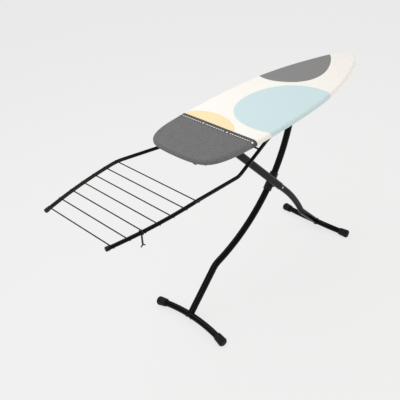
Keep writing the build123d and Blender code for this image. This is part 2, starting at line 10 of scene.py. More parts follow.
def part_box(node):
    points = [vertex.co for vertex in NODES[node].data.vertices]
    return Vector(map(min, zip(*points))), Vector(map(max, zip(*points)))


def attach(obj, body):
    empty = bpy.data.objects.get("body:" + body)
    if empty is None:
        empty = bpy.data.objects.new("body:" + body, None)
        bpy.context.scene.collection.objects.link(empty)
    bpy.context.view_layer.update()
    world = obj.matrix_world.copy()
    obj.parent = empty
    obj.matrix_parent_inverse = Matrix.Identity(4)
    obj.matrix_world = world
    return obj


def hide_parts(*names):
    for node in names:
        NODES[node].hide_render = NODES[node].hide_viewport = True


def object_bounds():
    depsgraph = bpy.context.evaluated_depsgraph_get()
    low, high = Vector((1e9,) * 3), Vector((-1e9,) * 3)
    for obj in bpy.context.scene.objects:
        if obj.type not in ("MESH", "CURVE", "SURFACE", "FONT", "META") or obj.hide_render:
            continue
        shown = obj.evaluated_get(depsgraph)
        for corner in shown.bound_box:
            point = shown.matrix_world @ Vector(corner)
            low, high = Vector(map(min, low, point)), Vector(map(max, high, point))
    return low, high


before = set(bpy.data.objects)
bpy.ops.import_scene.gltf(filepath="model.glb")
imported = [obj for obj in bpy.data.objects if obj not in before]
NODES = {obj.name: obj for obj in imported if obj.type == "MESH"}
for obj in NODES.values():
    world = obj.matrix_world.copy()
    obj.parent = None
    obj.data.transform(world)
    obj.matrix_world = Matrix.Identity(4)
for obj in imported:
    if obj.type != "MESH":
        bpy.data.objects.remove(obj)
CAD_LOW, CAD_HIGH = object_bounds()

bl_info = {
    "name": "Ironing Board Dressing",
    "version": (1, 0, 0),
    "blender": (4, 5, 0),
    "location": "View3D > Sidebar > Ironing Board",
    "description": "Cloth cover, pad, finishes and studio for a folding ironing board",
    "category": "Object",
}

# ---- what the frame says, in metres
MM = 0.001
COVER_LOW, COVER_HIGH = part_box("printed_cover")
HEAT_LOW, HEAT_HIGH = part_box("heat_zone_cover")
PAD_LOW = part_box("felt_pad")[0]
BOARD_TOP = COVER_HIGH.z
BOARD_HEM = COVER_LOW.z
SEAM_X = COVER_LOW.x
BROAD_END = HEAT_LOW.x
NOSE = COVER_HIGH.x


def srgb(code):
    """A hex colour as linear red, green, blue and alpha."""
    parts = [int(code[i:i + 2], 16) / 255 for i in (1, 3, 5)]
    linear = [p / 12.92 if p <= 0.04045 else ((p + 0.055) / 1.055) ** 2.4
              for p in parts]
    return (*linear, 1.0)


def colour(name, description, code):
    """A colour that the user can set, with its sRGB default."""
    return bpy.props.FloatVectorProperty(
        name=name, description=description, subtype="COLOR", size=4,
        min=0.0, max=1.0, default=srgb(code))


def length(name, description, millimetres):
    """A length that the user can set, with its default in millimetres."""
    return bpy.props.FloatProperty(
        name=name, description=description, unit="LENGTH",
        default=millimetres * MM)


# ---- settings

class CoverSettings(bpy.types.PropertyGroup):
    """Shape and colours of the cotton cover and the pad under it."""
    edge_round: length("Edge rounding", "Width of the soft edge on top", 17.0)
    edge_drop: length("Edge drop", "Height of the soft edge", 13.0)
    hem_turn: length("Hem", "Cloth turned in under the rim", 27.0)
    gather_depth: length("Gathers", "Depth of the folds in the hem", 2.2)
    gather_pitch: length("Gather spacing", "From one fold to the next", 13.0)
    ground: colour("Cotton", "Unprinted cotton", "#FCFAF5")
    blue: colour("Blue print", "Large pale shape", "#D0E6EB")
    yellow: colour("Yellow print", "Half shape at the seam", "#FFE8BA")
    grey: colour("Grey print", "Dark shape near the nose", "#888889")
    felt: colour("Felt", "Pad under the cover", "#EFECE4")
    felt_shadow: colour("Felt hollows", "Between the felt's fibres", "#CFCBC0")


class HeatZoneSettings(bpy.types.PropertyGroup):
    """Heat-proof cloth at the broad end and the tape along its seam."""
    cloth: colour("Coated cloth", "Heat-proof cloth", "#6E6E6F")
    tape: colour("Tape", "Woven tape along the seam", "#4B4B4E")
    print_white: colour("Tape print", "Dashes and dots on the tape", "#F4F4F2")
    thread: colour("Thread", "Stitches of the tape", "#5C5C60")
    tape_width: length("Tape width", "Width of the woven tape", 28.0)
    dash_length: length("Dash", "Length of a printed dash", 9.0)
    dot_repeat: length("Dot spacing", "From one printed dot to the next", 140.0)


class StandSettings(bpy.types.PropertyGroup):
    """Finishes of the stand, the rack and their fittings."""
    coat: colour("Powder coat", "Coat on the tubes and the rack", "#080809")
    rubber: colour("Rubber", "Foot caps", "#101219")
    plastic: colour("Plastic", "Moulded fittings", "#101114")
    zinc: colour("Zinc", "Plated pins and rivets", "#B9B8B2")
    enamel: colour("Enamel", "Rim, panel and braces", "#D9D9D6")
    bead: length("Weld bead", "Thickness of a weld bead", 3.4)


class StageSettings(bpy.types.PropertyGroup):
    """Floor, light and camera."""
    paper: colour("Paper", "Seamless paper under the board", "#EEEEEE")
    lens: bpy.props.FloatProperty(
        name="Lens", description="Focal length", unit="CAMERA", default=55.87)
    heading: bpy.props.FloatProperty(
        name="Heading", description="Way the camera looks, from +X",
        subtype="ANGLE", default=math.radians(45.44))
    tilt: bpy.props.FloatProperty(
        name="Tilt", description="Down from the horizon",
        subtype="ANGLE", default=math.radians(31.36))
    roll: bpy.props.FloatProperty(
        name="Roll", description="Turn about the view",
        subtype="ANGLE", default=math.radians(-3.73))
    place: bpy.props.FloatVectorProperty(
        name="Place", description="Where the camera stands",
        subtype="TRANSLATION", default=(-1.8975, -1.6534, 2.2737))
    shift: bpy.props.FloatVectorProperty(
        name="Shift", description="Shift of the picture", size=2,
        default=(0.0023, -0.0869))


class BoardSettings(bpy.types.PropertyGroup):
    """All settings of the ironing board."""
    cover: bpy.props.PointerProperty(type=CoverSettings)
    heat_zone: bpy.props.PointerProperty(type=HeatZoneSettings)
    stand: bpy.props.PointerProperty(type=StandSettings)
    stage: bpy.props.PointerProperty(type=StageSettings)


# ---- material tools

def add(tree, kind, inputs=None, **settings):
    """Add a node. An input takes a value, a socket or a node's first output."""
    node = tree.nodes.new(kind)
    for key, value in settings.items():
        setattr(node, key, value)
    for key, value in (inputs or {}).items():
        if isinstance(value, bpy.types.Node):
            value = next(output for output in value.outputs if output.enabled)
        if isinstance(value, bpy.types.NodeSocket):
            tree.links.new(value, node.inputs[key])
        else:
            node.inputs[key].default_value = value
    return node


def new_material(name):
    """An empty material, its node tree and the place of each shaded point."""
    material = bpy.data.materials.new(name)
    material.use_nodes = True
    tree = material.node_tree
    tree.nodes.clear()
    return material, tree, add(tree, "ShaderNodeTexCoord").outputs["Object"]


def surface(tree, inputs):
    """End a material with its one shader."""
    shader = add(tree, "ShaderNodeBsdfPrincipled", inputs)
    add(tree, "ShaderNodeOutputMaterial", {"Surface": shader})


def patchy(tree, place, size, low, high, detail=3.0):
    """A value that drifts from low to high in patches about size across."""
    lumps = add(tree, "ShaderNodeTexNoise",
                {"Vector": place, "Scale": 1 / size, "Detail": detail})
    return add(tree, "ShaderNodeMapRange",
               {"Value": lumps, "To Min": low, "To Max": high})


def mottled(tree, place, shade, size, low, high, detail=3.0):
    """A colour that is darker and lighter in patches."""
    cloud = patchy(tree, place, size, low, high, detail)
    return add(tree, "ShaderNodeMix", {0: 1.0, 6: shade, 7: cloud},
               data_type="RGBA", blend_type="MULTIPLY")


def pitted(tree, place, size, depth, strength, detail=3.0):
    """The relief of lumps and pits about size across."""
    lumps = add(tree, "ShaderNodeTexNoise",
                {"Vector": place, "Scale": 1 / size, "Detail": detail})
    return add(tree, "ShaderNodeBump",
               {"Height": lumps, "Distance": depth, "Strength": strength})


WAVE_SCALE = math.tau / 20       # scale of a wave texture one metre long


def weave(tree, place, pitch):
    """Height of a plain weave with threads pitch apart."""
    warp, weft = (add(tree, "ShaderNodeTexWave", {
        "Vector": place, "Scale": WAVE_SCALE / pitch, "Distortion": 1.2,
        "Detail": 1.0}, bands_direction=direction).outputs["Fac"]
        for direction in ("X", "Y"))
    return add(tree, "ShaderNodeMath", {0: warp, 1: weft}, operation="MULTIPLY")


# ---- finishes

# Each print: middle from the broad end and across, half sizes, tilt in
# degrees, and how square it is (2 is an ellipse). Millimetres.
PRINTS = {"yellow": (259, 55, 156, 101, 80, 1.93),
          "blue": (603, -136, 253, 232, -8, 2.14),
          "grey": (1062, 176, 268, 198, 26.5, 2.33)}


def print_mask(tree, place, along, across, half_a, half_b, tilt, power):
    """One inside a printed shape and nought outside, with a crisp edge."""
    local = add(tree, "ShaderNodeMapping", {
        "Vector": place, "Location": (BROAD_END + along * MM, across * MM, 0),
        "Rotation": (0, 0, math.radians(tilt)),
        "Scale": (half_a * MM, half_b * MM, 1)}, vector_type="TEXTURE")
    parts = add(tree, "ShaderNodeSeparateXYZ", {"Vector": local})
    sizes = []
    for axis in parts.outputs[:2]:
        plain = add(tree, "ShaderNodeMath", {0: axis}, operation="ABSOLUTE")
        sizes.append(add(tree, "ShaderNodeMath", {0: plain, 1: power},
                         operation="POWER"))
    reach = add(tree, "ShaderNodeMath", {0: sizes[0], 1: sizes[1]},
                operation="ADD")
    return add(tree, "ShaderNodeMapRange",
               {"Value": reach, "From Min": 1.008, "From Max": 0.992})


def printed_cotton(settings):
    """Plain weave cotton, screen printed: matt, with a soft bloom at the edge."""
    material, tree, place = new_material("printed_plain_weave_cotton")
    shade = settings.ground
    for name, shape in PRINTS.items():
        mask = print_mask(tree, place, *shape)
        shade = add(tree, "ShaderNodeMix",
                    {0: mask, 6: shade, 7: getattr(settings, name)},
                    data_type="RGBA")
    # Ink and cotton take dye unevenly: clouds of about 9 mm and 60 mm.
    for size, low in ((9 * MM, 0.965), (60 * MM, 0.975)):
        shade = mottled(tree, place, shade, size, low, 1.01)
    # Threads are 0.4 mm apart; they are drawn at 2 mm so that they show.
    threads = weave(tree, place, 2.0 * MM)
    slubs = add(tree, "ShaderNodeTexNoise",
                {"Vector": place, "Scale": 1 / (5 * MM), "Detail": 3.0})
    height = add(tree, "ShaderNodeMath", {0: threads, 1: slubs}, operation="ADD")
    relief = add(tree, "ShaderNodeBump",
                 {"Height": height, "Distance": 0.4 * MM, "Strength": 0.35})
    surface(tree, {"Base Color": shade, "Roughness": 0.82, "IOR": 1.47,
                   "Specular IOR Level": 0.25, "Sheen Weight": 0.12,
                   "Sheen Roughness": 0.5, "Normal": relief})
    return material


def coated_cloth(settings):
    """Silicone coated glass cloth: dull grey with a tight, slick weave."""
    material, tree, place = new_material("silicone_coated_cloth")
    shade = mottled(tree, place, settings.cloth, 6 * MM, 0.5, 1.45)
    shade = mottled(tree, place, shade, 40 * MM, 0.92, 1.06)
    # Threads are 0.5 mm apart; they are drawn at 2.4 mm so that they show.
    relief = add(tree, "ShaderNodeBump", {
        "Height": weave(tree, place, 2.4 * MM), "Distance": 0.4 * MM,
        "Strength": 0.4})
    surface(tree, {"Base Color": shade, "IOR": 1.43, "Specular IOR Level": 0.4,
                   "Roughness": patchy(tree, place, 12 * MM, 0.5, 0.68),
                   "Normal": relief})
    return material


def printed_tape(settings):
    """Woven polyester tape: darker, ribbed across, with dashes and dots."""
    material, tree, place = new_material("woven_polyester_tape")
    row_share = 0.76         # the printed row, across the tape from the seam
    dash_pitch = 1.5         # in dash lengths
    inked_share = 0.66       # of the pitch
    dash_half_width = 2.6 * MM
    dot_room = 12 * MM       # from a dot's middle to the nearest dash
    dot_radius = 5.2 * MM
    parts = add(tree, "ShaderNodeSeparateXYZ", {"Vector": place})
    found = {"x": parts.outputs["X"], "y": parts.outputs["Y"]}
    repeat, dash = settings.dot_repeat, settings.dash_length * dash_pitch
    # Dashes run along y on one row, and make room for the dots.
    for name, operation, first, second in (
            ("off_row", "SUBTRACT", "x",
             SEAM_X - settings.tape_width * row_share),
            ("from_row", "ABSOLUTE", "off_row", 0.0),
            ("repeats", "DIVIDE", "y", repeat),
            ("repeat_share", "FRACT", "repeats", 0.0),
            ("along", "MULTIPLY", "repeat_share", repeat),
            ("off_dot", "SUBTRACT", "along", repeat / 2),
            ("from_dot", "ABSOLUTE", "off_dot", 0.0),
            ("dashes", "DIVIDE", "y", dash),
            ("dash_share", "FRACT", "dashes", 0.0),
            ("inked", "LESS_THAN", "dash_share", inked_share),
            ("on_row", "LESS_THAN", "from_row", dash_half_width),
            ("clear_of_dot", "GREATER_THAN", "from_dot", dot_room),
            ("inked_row", "MULTIPLY", "inked", "on_row"),
            ("dash", "MULTIPLY", "inked_row", "clear_of_dot"),
            ("row_square", "POWER", "from_row", 2.0),
            ("dot_square", "POWER", "from_dot", 2.0),
            ("square", "ADD", "row_square", "dot_square"),
            ("reach", "SQRT", "square", 0.0),
            ("dot", "LESS_THAN", "reach", dot_radius),
            ("marks", "MAXIMUM", "dash", "dot")):
        found[name] = add(tree, "ShaderNodeMath", {
            0: found[first], 1: found.get(second, second)}, operation=operation)
    shade = add(tree, "ShaderNodeMix",
                {0: found["marks"], 6: settings.tape, 7: settings.print_white},
                data_type="RGBA")
    # Ribs of the tape are 0.8 mm apart; they are drawn at 2 mm.
    ribs = add(tree, "ShaderNodeTexWave", {
        "Vector": place, "Scale": WAVE_SCALE / (2 * MM)}, bands_direction="Y")
    relief = add(tree, "ShaderNodeBump", {
        "Height": ribs.outputs["Fac"], "Distance": 0.3 * MM, "Strength": 0.4})
    surface(tree, {"Base Color": mottled(tree, place, shade, 4 * MM, 0.9, 1.06),
                   "Roughness": 0.7, "IOR": 1.5, "Normal": relief})
    return material


def powder_coat(settings):
    """Black polyester powder coat: deep, satin gloss, faint orange peel."""
    material, tree, place = new_material("satin_powder_coat")
    surface(tree, {
        "Base Color": mottled(tree, place, settings.coat, 20 * MM, 0.85, 1.15),
        "Roughness": patchy(tree, place, 14 * MM, 0.12, 0.2),
        "IOR": 1.5, "Specular IOR Level": 0.12,
        # Orange peel on powder has lumps of 1 to 2 mm.
        "Normal": pitted(tree, place, 1.8 * MM, 0.05 * MM, 0.15, 1.0)})
    return material


def foot_rubber(settings):
    """Moulded rubber: blue black, dull, with fine pits and scuffs."""
    material, tree, place = new_material("moulded_rubber")
    surface(tree, {
        "Base Color": mottled(tree, place, settings.rubber, 6 * MM, 0.8,
                              1.35, 6.0),
        "Roughness": patchy(tree, place, 3 * MM, 0.48, 0.7),
        "IOR": 1.52, "Specular IOR Level": 0.2,
        "Normal": pitted(tree, place, 1.0 * MM, 0.15 * MM, 0.4)})
    return material


def moulded_plastic(settings):
    """Glass filled nylon, injection moulded: black with a sparked grain."""
    material, tree, place = new_material("moulded_nylon")
    surface(tree, {
        "Base Color": mottled(tree, place, settings.plastic, 10 * MM, 0.88, 1.15),
        "Roughness": patchy(tree, place, 2 * MM, 0.38, 0.52),
        "IOR": 1.53, "Specular IOR Level": 0.25,
        # The sparked grain is about 0.3 mm; it is drawn at 0.9 mm.
        "Normal": pitted(tree, place, 0.9 * MM, 0.08 * MM, 0.5, 2.0)})
    return material


def zinc_plate(settings):
    """Zinc plated steel: bright, slightly warm, drawn lines and water marks."""
    material, tree, place = new_material("zinc_plated_steel")
    surface(tree, {
        "Base Color": mottled(tree, place, settings.zinc, 5 * MM, 0.8, 1.05, 5.0),
        "Roughness": patchy(tree, place, 2 * MM, 0.24, 0.42), "Metallic": 1.0,
        "Normal": pitted(tree, place, 0.8 * MM, 0.05 * MM, 0.3, 1.0)})
    return material


def baked_enamel(settings):
    """Baked enamel on sheet steel: light grey, half gloss, with dust nibs."""
    material, tree, place = new_material("baked_enamel")
    surface(tree, {
        "Base Color": mottled(tree, place, settings.enamel, 50 * MM, 0.93, 1.03),
        "Roughness": patchy(tree, place, 25 * MM, 0.34, 0.48), "IOR": 1.5,
        "Coat Weight": 0.15, "Coat Roughness": 0.2,
        "Normal": pitted(tree, place, 3 * MM, 0.08 * MM, 0.2, 1.0)})
    return material


def needled_felt(settings):
    """Needled polyester felt: off white, hairy, with no gloss."""
    material, tree, place = new_material("needled_felt")
    fibres = add(tree, "ShaderNodeTexNoise", {
        "Vector": place, "Scale": 1 / (2.5 * MM), "Detail": 8.0})
    shade = add(tree, "ShaderNodeMix", {
        0: fibres, 6: settings.felt_shadow, 7: settings.felt},
        data_type="RGBA")
    relief = add(tree, "ShaderNodeBump",
                 {"Height": fibres, "Distance": 0.8 * MM, "Strength": 0.6})
    surface(tree, {"Base Color": shade, "Roughness": 0.95, "Sheen Weight": 0.3,
                   "Sheen Roughness": 0.4, "Normal": relief})
    return material


def sewing_thread(settings):
    """Spun polyester thread: matt, with a twist along it."""
    material, tree, place = new_material("grey_thread")
    surface(tree, {
        "Base Color": mottled(tree, place, settings.thread, 1.2 * MM, 0.8,
                              1.1, 2.0),
        "Roughness": 0.75, "Sheen Weight": 0.2,
        "Normal": pitted(tree, place, 1.2 * MM, 0.2 * MM, 0.5, 2.0)})
    return material


def finish_nodes(names, material):
    """Give CAD nodes their finish."""
    for name in names:
        mesh = NODES[name].data
        mesh.materials.clear()
        mesh.materials.append(material)


# ---- mesh tools

def new_piece(name, mesh_data, body, material):
    """Make an object from a bmesh, smooth it and hang it on a body."""
    mesh = bpy.data.meshes.new(name)
    mesh_data.to_mesh(mesh)
    mesh_data.free()
    mesh.materials.append(material)
    piece = bpy.data.objects.new(name, mesh)
    bpy.context.scene.collection.objects.link(piece)
    for face in mesh.polygons:
        face.use_smooth = True
    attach(piece, body)
    return piece


def tube_ring(mesh, points, normals, thick, sides=8, lumps=0.0):
    """Add a closed bead that follows a ring of points."""
    count = len(points)
    rings = []
    for i, (point, normal) in enumerate(zip(points, normals)):
        along = (points[(i + 1) % count] - points[i - 1]).normalized()
        out = (normal - along * normal.dot(along)).normalized()
        up = along.cross(out)
        size = thick * (1 + lumps * math.sin(i * 2.3))
        ring = []
        for k in range(sides):
            turn = math.tau * k / sides
            ring.append(mesh.verts.new(
                point + (out * math.cos(turn) + up * math.sin(turn)) * size))
        rings.append(ring)
    for i in range(count):
        here, after = rings[i], rings[(i + 1) % count]
        for k in range(sides):
            mesh.faces.new((here[k], here[(k + 1) % sides],
                            after[(k + 1) % sides], after[k]))


def ring_round(centre, axis, radius, count):
    """Points and outward normals of a circle about an axis."""
    axis = axis.normalized()
    first = axis.orthogonal().normalized()
    second = axis.cross(first)
    normals = [first * math.cos(math.tau * i / count)
               + second * math.sin(math.tau * i / count) for i in range(count)]
    return [centre + n * radius for n in normals], normals


def search_tree(mesh):
    """A search tree of a mesh's faces."""
    return BVHTree.FromPolygons([v.co for v in mesh.vertices],
                                [p.vertices for p in mesh.polygons])


# ---- the cover's shape

EDGE_SAMPLES = 1200          # round the board: one each 2.5 mm
INNER_RING = 70 * MM         # from the edge to where the flat middle starts
SPINE_START = 0.2            # the middle line's end, in from the broad end
SPINE_END = 0.22             # and in from the nose
CORNER_TURN = 0.22           # radians within 8 samples each way of a corner
CLOTH_TOP = BOARD_TOP - 2.2 * MM     # cotton, under the tape and its thread


def board_plan(count):
    """The board's edge: points and inward normals, the nose first."""
    corners = [v.co.xy for name in ("printed_cover", "heat_zone_cover")
               for v in NODES[name].data.vertices
               if v.co.z > BOARD_TOP - 0.1 * MM]
    hull = [corners[i] for i in convex_hull_2d(corners)]
    middle = (BROAD_END + NOSE) / 2
    side = sorted((p for p in hull if p.y > 0.1 * MM),
                  key=lambda p: math.atan2(p.y, p.x - middle))
    side = [Vector((NOSE, 0))] + side + [Vector((BROAD_END, 0))]
    gone = [0.0]
    for a, b in zip(side, side[1:]):
        gone.append(gone[-1] + (b - a).length)
    half = count // 2
    points, k = [], 0
    for i in range(half + 1):
        want = gone[-1] * i / half
        while k < len(gone) - 2 and gone[k + 1] < want:
            k += 1
        share = (want - gone[k]) / (gone[k + 1] - gone[k])
        points.append(side[k].lerp(side[k + 1], share))
    points += [Vector((p.x, -p.y)) for p in points[-2:0:-1]]
    for _ in range(6):       # smooth the hull's facets away
        points = [(points[i - 1] + 2 * p + points[(i + 1) % count]) / 4
                  for i, p in enumerate(points)]
    normals = []
    for i in range(count):
        along = (points[(i + 1) % count] - points[i - 1]).normalized()
        normals.append(Vector((-along.y, along.x)))
    return points, normals


def turn_at(normals, i):
    """How sharply the edge turns at a sample: 0 straight, 1 at the corners."""
    count, reach = len(normals), 8
    before, after = normals[i - reach], normals[(i + reach) % count]
    return min(1.0, before.angle(after, 0.0) / CORNER_TURN)


def cover_rings(settings):
    """Rings from the middle out and round the edge to the hem.

    Each is how far in from the edge, its height, and its share of the
    gathers. A share of the middle stands in for the inset of a flat ring."""
    rings = [("middle", share, CLOTH_TOP, 0.0)
             for share in (0.0, 0.15, 0.3, 0.45, 0.6, 0.75, 0.9)]
    rings += [("edge", inset * MM, CLOTH_TOP, 0.0)
              for inset in (70, 58, 46, 36, 28, 22)]
    wide, drop = settings.edge_round, settings.edge_drop
    for step in range(9):
        angle = math.radians(90 * step / 8)
        rings.append(("edge", wide * (1 - math.sin(angle)),
                      CLOTH_TOP - drop * (1 - math.cos(angle)), 0.0))
    low_round = 5 * MM
    for share in (0.35, 0.7, 1.0):
        z = CLOTH_TOP - drop - share * (CLOTH_TOP - drop - BOARD_HEM - low_round)
        rings.append(("edge", 0.0, z, 0.35 * share))
    for step in range(1, 5):
        angle = math.radians(90 * step / 4)
        rings.append(("edge", low_round * (1 - math.cos(angle)),
                      BOARD_HEM + low_round * (1 - math.sin(angle)),
                      0.35 + 0.06 * step))
    for share in (0.2, 0.45, 0.7, 0.86, 1.0):
        rings.append(("edge", low_round + share * (settings.hem_turn - low_round),
                      BOARD_HEM, 0.6 + 0.4 * share))
    # The hem turns up round its drawcord.
    cord = 2.6 * MM
    for angle in (40, 90, 150, 210):
        a = math.radians(angle)
        rings.append(("edge", settings.hem_turn + cord * math.sin(a),
                      BOARD_HEM + cord * (1 - math.cos(a)), 1.0))
    return rings


def cover_mesh(settings, lift):
    """The stretched cover as one sheet, its hem gathered under the rim."""
    points, normals = board_plan(EDGE_SAMPLES)
    spine_low, spine_high = BROAD_END + SPINE_START, NOSE - SPINE_END
    spacing = 2 * math.pi / settings.gather_pitch
    side_share, hem_share = 0.04, 0.35   # of the gathers, where it is straight
    nose_share = 0.3         # of the gathers, where the nose is drawn smoother
    gone, travelled = [], 0.0
    for i, point in enumerate(points):
        gone.append(travelled)
        travelled += (points[(i + 1) % len(points)] - point).length
    turns = [turn_at(normals, i) for i in range(len(points))]
    mesh = bmesh.new()
    rows = []
    for kind, inset, z, gather in cover_rings(settings):
        row = []
        for i, (point, inward) in enumerate(zip(points, normals)):
            if kind == "middle":
                rim = point + inward * INNER_RING
                x = min(max(rim.x, spine_low), spine_high)
                flat = Vector((x, 0)).lerp(rim, inset)
            else:
                flat = point + inward * inset
            place = Vector((flat.x, flat.y, z))
            sway = noise.noise(Vector((gone[i] * 21, 3.1, 0.0)))
            fold = math.sin(gone[i] * spacing + 2.4 * sway)
            outside = inset < 6 * MM and kind == "edge"
            least = side_share if outside else hem_share
            deep = settings.gather_depth * gather
            deep *= least + (1 - least) * turns[i]
            if outside and points[i].x > 0:
                deep *= nose_share
            if outside:
                place.xy += inward * (-0.4 * deep * fold + 0.1 * deep)
                place.z += 0.5 * deep * fold * gather
            else:
                place.z += deep * (fold + 0.6)
            if z > CLOTH_TOP - settings.edge_drop:
                soft = noise.noise(place * 7) * 0.9
                soft += noise.noise(place * 23) * 0.35
                place.z += (soft - 0.9) * 0.6 * MM
            if lift:
                out = -inward if kind == "edge" else Vector((0, 0))
                share = min(1.0, max(0.0, (CLOTH_TOP - z) / settings.edge_drop))
                under = z < BOARD_HEM + 4 * MM and inset > 3 * MM
                place.xy += out * lift * share * (not under)
                place.z += lift * (1 - share) - lift * under
            row.append(mesh.verts.new(place))
        rows.append(row)
    count = len(points)
    for inner, outer in zip(rows, rows[1:]):
        for i in range(count):
            j = (i + 1) % count
            mesh.faces.new((inner[i], outer[i], outer[j], inner[j]))
    bmesh.ops.remove_doubles(mesh, verts=rows[0], dist=0.01 * MM)
    bmesh.ops.recalc_face_normals(mesh, faces=mesh.faces)
    return mesh


def keep_between(mesh, low_x, high_x):
    """Cut a mesh with two planes across the board and keep what is between."""
    for x, way in ((low_x, -1), (high_x, 1)):
        if x is None:
            continue
        bmesh.ops.bisect_plane(
            mesh, geom=mesh.verts[:] + mesh.edges[:] + mesh.faces[:],
            plane_co=(x, 0, 0), plane_no=(way, 0, 0), clear_outer=True)
    return mesh


def thicken(piece, thickness):
    """Give a sheet its thickness, inwards."""
    solid = piece.modifiers.new("thickness", "SOLIDIFY")
    solid.thickness = thickness
    solid.offset = -1.0


def stitches(name, way_points, body, material, pitch, thread):
    """A row of lockstitches: short, plump runs of thread along a line."""
    mesh = bmesh.new()
    gone = 0.0
    for (a, up_a), (b, _) in zip(way_points, way_points[1:]):
        run = (b - a).length
        if run < 1e-6:
            continue
        while gone <= run:
            centre = a.lerp(b, gone / run)
            along = (b - a).normalized()
            across = up_a.cross(along).normalized()
            turn = Matrix((along, across, up_a)).transposed().to_4x4()
            size = Matrix.Diagonal((pitch * 0.36, thread, thread * 0.8, 1))
            bmesh.ops.create_uvsphere(
                mesh, u_segments=6, v_segments=4, radius=1.0,
                matrix=Matrix.Translation(centre) @ turn @ size)
            gone += pitch
        gone -= run
    return new_piece(name, mesh, body, material)


def surface_line(tree, x):
    """Points and normals over the board's top and down both sides, at x."""
    middle = Vector((x, 0, BOARD_TOP - 12 * MM))
    wide, steps = HEAT_HIGH.y, 260
    start = 1.6              # rays start this many half widths out
    proud = 0.3 * MM         # the thread's middle above the cloth
    line = []
    for i in range(steps + 1):
        angle = math.pi * i / steps
        way = Vector((0, math.cos(angle) * wide, math.sin(angle) * 30 * MM))
        hit, normal, _, _ = tree.ray_cast(middle + way * start, -way)
        if hit is not None:
            out = normal if normal.dot(way) > 0 else -normal
            line.append((hit + out * proud, out))
    return line


# ---- operators

class IRONING_OT_stage(bpy.types.Operator):
    """Make the paper floor, the soft light and the camera."""
    bl_idname = "ironing.stage"
    bl_label = "Stage"

    def execute(self, context):
        settings = context.scene.ironing_board.stage
        self.camera(context, settings)
        self.light(context, settings)
        self.floor(context, settings)
        context.scene.view_settings.view_transform = "Standard"
        return {"FINISHED"}

    def camera(self, context, settings):
        """Stand the camera where the settings say."""
        data = bpy.data.cameras.new("camera")
        camera = bpy.data.objects.new("camera", data)
        context.scene.collection.objects.link(camera)
        turn = (Matrix.Rotation(settings.heading - math.pi / 2, 4, "Z")
                @ Matrix.Rotation(math.pi / 2 - settings.tilt, 4, "X")
                @ Matrix.Rotation(settings.roll, 4, "Z"))
        camera.matrix_world = Matrix.Translation(settings.place) @ turn
        data.sensor_width = 36.0
        data.lens = settings.lens
        data.shift_x, data.shift_y = settings.shift
        data.clip_end = 100.0
        context.scene.camera = camera

    def light(self, context, settings):
        """Light the board from a pale room and three soft lamps."""
        world = bpy.data.worlds.new("studio")
        world.use_nodes = True
        background = world.node_tree.nodes["Background"]
        background.inputs["Color"].default_value = settings.paper
        background.inputs["Strength"].default_value = 0.57
        context.scene.world = world
        middle = (CAD_LOW + CAD_HIGH) / 2
        # Name, place from the middle of the board, width and length, watts
        # and tint.
        for name, place, size, watts, tint in (
                ("overhead", (-0.4, 0.9, 2.6), (3.2, 2.2), 36.0, "#FFFFFF"),
                ("window", (-2.6, -0.6, 1.9), (1.0, 2.2), 14.0, "#FFFFFF"),
                ("strip", (1.6, -2.4, 1.6), (0.3, 2.4), 20.0, "#FFE9CC")):
            data = bpy.data.lights.new(name, "AREA")
            data.color = srgb(tint)[:3]
            data.shape = "RECTANGLE"
            data.size, data.size_y = size
            data.energy = watts
            lamp = bpy.data.objects.new(name, data)
            lamp.location = middle + Vector(place)
            lamp.rotation_mode = "QUATERNION"
            lamp.rotation_quaternion = (-Vector(place)).to_track_quat("-Z", "Y")
            context.scene.collection.objects.link(lamp)

    def floor(self, context, settings):
        """Lay the seamless paper."""
        # Backlit paper: light through it gives most of its brightness, so the
        # shadows on it stay faint.
        material, tree, place = new_material("backlit_paper")
        surface(tree, {
            "Base Color": (0.16, 0.16, 0.16, 1.0), "Roughness": 0.9,
            "Specular IOR Level": 0.0, "Emission Strength": 0.865,
            "Emission Color": mottled(tree, place, settings.paper, 0.8,
                                      0.995, 1.0)})
        mesh = bmesh.new()
        bmesh.ops.create_grid(mesh, x_segments=8, y_segments=8, size=30.0)
        data = bpy.data.meshes.new("floor")
        mesh.to_mesh(data)
        mesh.free()
        data.materials.append(material)
        floor = bpy.data.objects.new("floor", data)
        context.scene.collection.objects.link(floor)


class IRONING_OT_cover(bpy.types.Operator):
    """Stretch the printed cotton over the pad and gather its hem."""
    bl_idname = "ironing.cover"
    bl_label = "Printed cover"

    def execute(self, context):
        settings = context.scene.ironing_board.cover
        tuck = 8 * MM        # cotton that runs on under the tape
        mesh = keep_between(cover_mesh(settings, 0.0), SEAM_X - tuck, None)
        cover = new_piece("cotton_cover", mesh, "board",
                          printed_cotton(settings))
        thicken(cover, 0.7 * MM)
        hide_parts("printed_cover")
        return {"FINISHED"}


